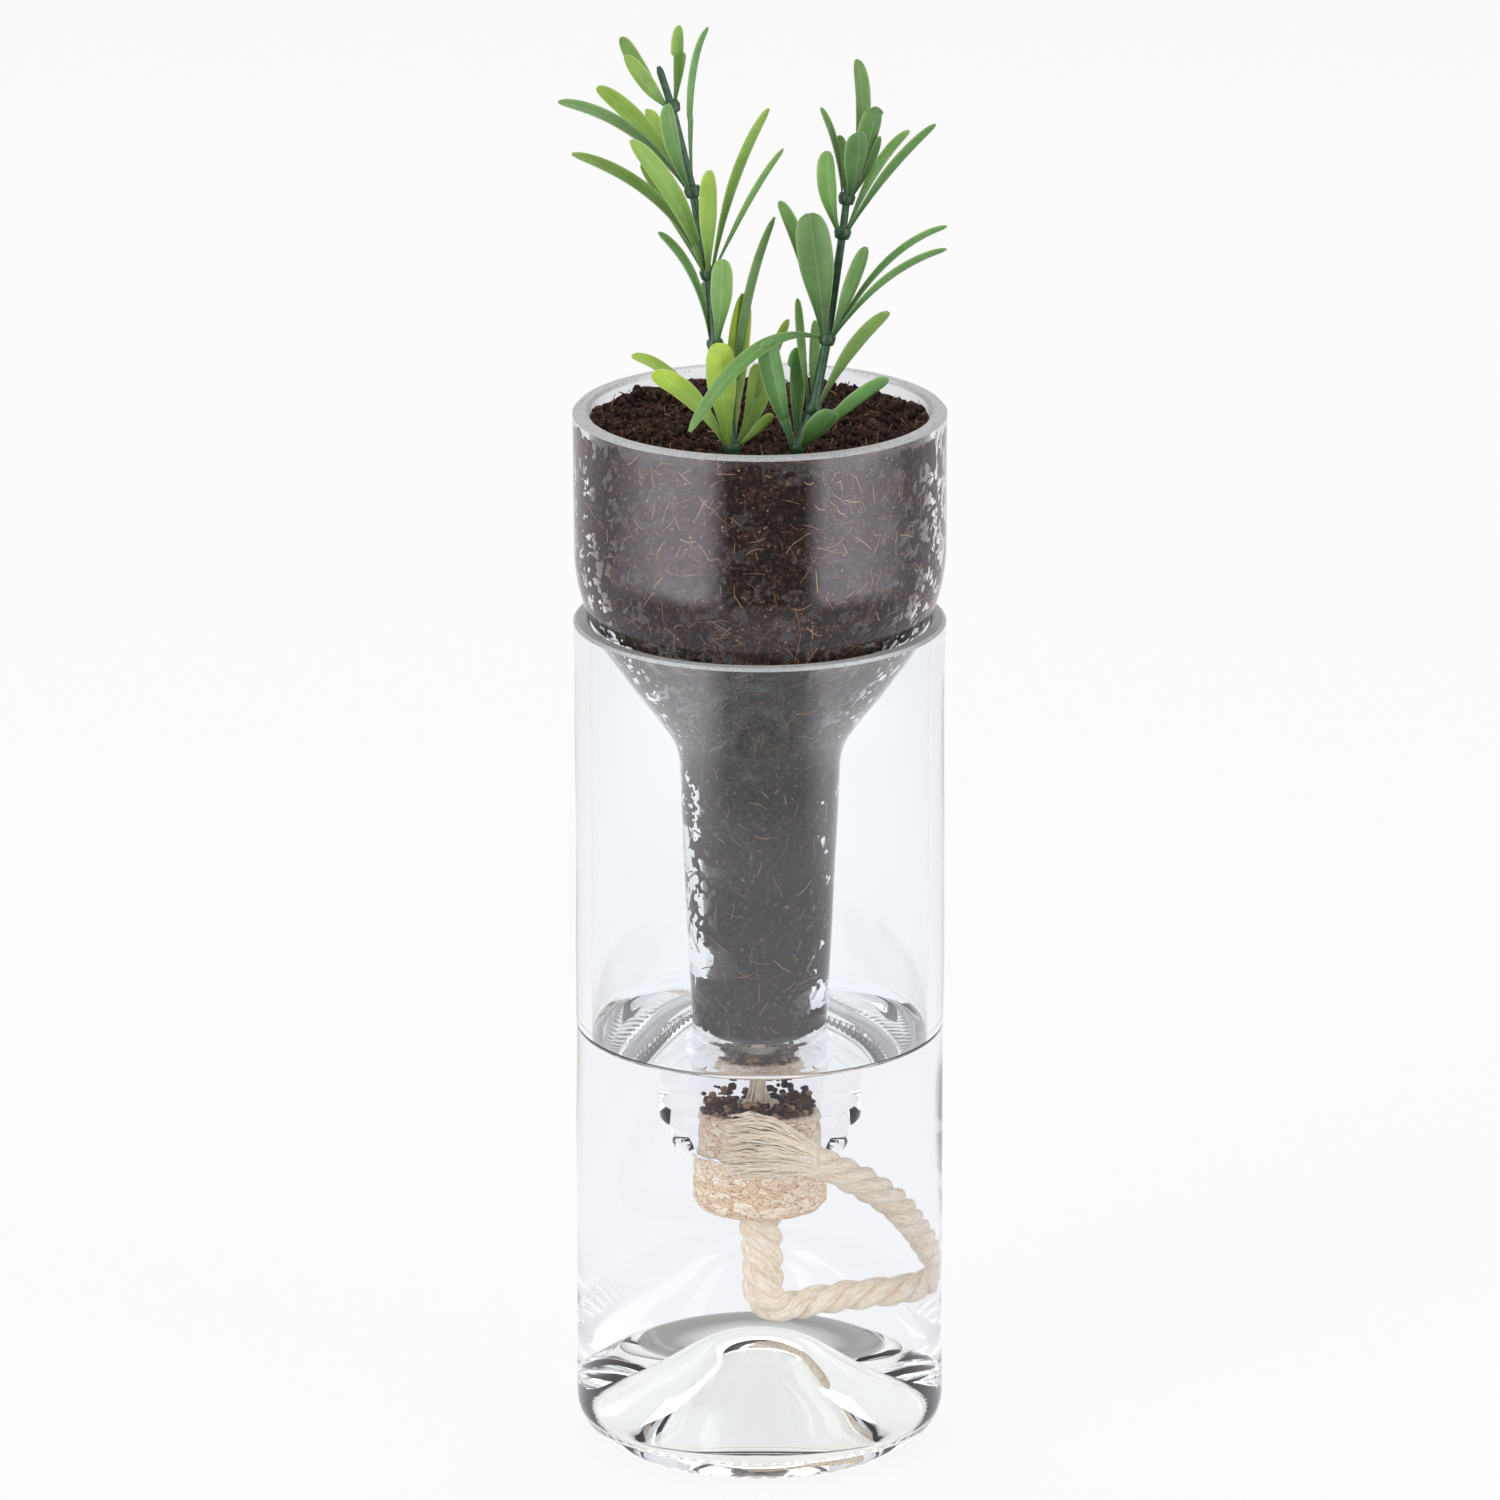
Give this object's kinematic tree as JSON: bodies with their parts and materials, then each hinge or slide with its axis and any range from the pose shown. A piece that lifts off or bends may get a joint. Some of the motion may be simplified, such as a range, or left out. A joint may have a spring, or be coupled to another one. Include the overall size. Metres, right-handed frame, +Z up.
{
  "type": "hydroponic jar planter",
  "caption": "Self-watering planter cut from a bottle: a soil-filled funnel with plastic sprigs stands neck down in a water jar, and a cotton rope through its cork draws the water up.",
  "frame": {"origin": "centre of the jar's base, on the surface it stands on", "axes": "+Z up the bottle's axis, -Y towards the front, where the sprigs stand and the rope comes up, +X to the right"},
  "size_m": [0.0772, 0.075, 0.2975],
  "materials": {
    "clear_glass": "clear, smooth, with ground rims",
    "water": "clear",
    "potting_soil": "loose crumbs and fibres",
    "cork": "pressed cork granules, matt",
    "cotton_rope": "three-strand twisted, matt",
    "stem_plastic": "satin",
    "light_leaf_plastic": "satin",
    "dark_leaf_plastic": "satin"
  },
  "bodies": {
    "jar": {"reservoir_jar": "clear_glass", "water": "water"},
    "funnel": {"planter_funnel": "clear_glass", "potting_soil": "potting_soil"},
    "cork": {"cork_stopper": "cork", "wick_core": "cotton_rope", "wick_tail": "cotton_rope", "wick_frayed_end": "cotton_rope"},
    "sprig_left": {"left_stem": "stem_plastic", "left_base_whorl": "light_leaf_plastic", "left_lower_whorl": "light_leaf_plastic", "left_middle_whorl": "light_leaf_plastic", "left_upper_whorl": "light_leaf_plastic", "left_top_whorl": "light_leaf_plastic"},
    "sprig_right": {"right_stem": "stem_plastic", "right_base_whorl": "dark_leaf_plastic", "right_lower_whorl": "dark_leaf_plastic", "right_middle_whorl": "dark_leaf_plastic", "right_upper_whorl": "dark_leaf_plastic", "right_top_whorl": "dark_leaf_plastic"}
  },
  "joints": [
    {"name": "funnel_lift", "type": "slide", "parent": "jar", "child": "funnel", "axis": [0, 0, 1], "range_m": [0, 0.155], "deforming": ["water"]},
    {"name": "cork_pull", "type": "slide", "parent": "funnel", "child": "cork", "axis": [0, 0, -1], "range_m": [0, 0.012], "deforming": ["wick_tail"]},
    {"name": "sprig_left_pull", "type": "slide", "parent": "funnel", "child": "sprig_left", "axis": [0, 0, 1], "range_m": [0, 0.042]},
    {"name": "sprig_right_pull", "type": "slide", "parent": "funnel", "child": "sprig_right", "axis": [0, 0, 1], "range_m": [0, 0.042]}
  ]
}
